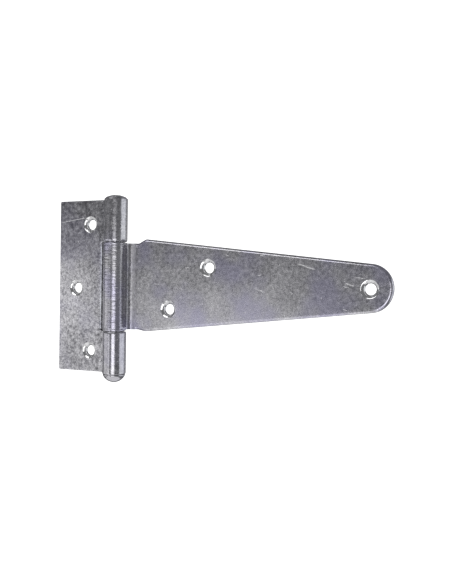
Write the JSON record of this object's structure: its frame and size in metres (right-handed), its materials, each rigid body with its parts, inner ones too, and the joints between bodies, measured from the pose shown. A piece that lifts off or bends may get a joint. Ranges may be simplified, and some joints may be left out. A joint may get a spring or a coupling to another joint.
{
  "type": "t hinge",
  "caption": "T hinge for a gate or shed door: a tapered strap leaf swings on a riveted pin from a notched rectangular jamb leaf, with countersunk screw holes.",
  "frame": {"origin": "on the pin's axis, half way up the jamb leaf", "axes": "+Z along the pin, away from its domed head; +X towards the strap's tip when the leaves lie in one plane; -Y out of the countersunk front faces, so the backs look towards +Y"},
  "size_m": [0.1933, 0.0128, 0.1018],
  "materials": {
    "plated_leaf": "bright zinc plated, mottled and lightly scratched",
    "plated_pin": "bright zinc plated"
  },
  "bodies": {
    "jamb": {"jamb_leaf": "plated_leaf", "hinge_pin": "plated_pin"},
    "strap": {"strap_leaf": "plated_leaf"}
  },
  "joints": [
    {"name": "strap_swing", "type": "hinge", "parent": "jamb", "child": "strap", "pos_m": [0, 0, 0], "axis": [0, 0, -1], "range_deg": [-120, 185]}
  ]
}
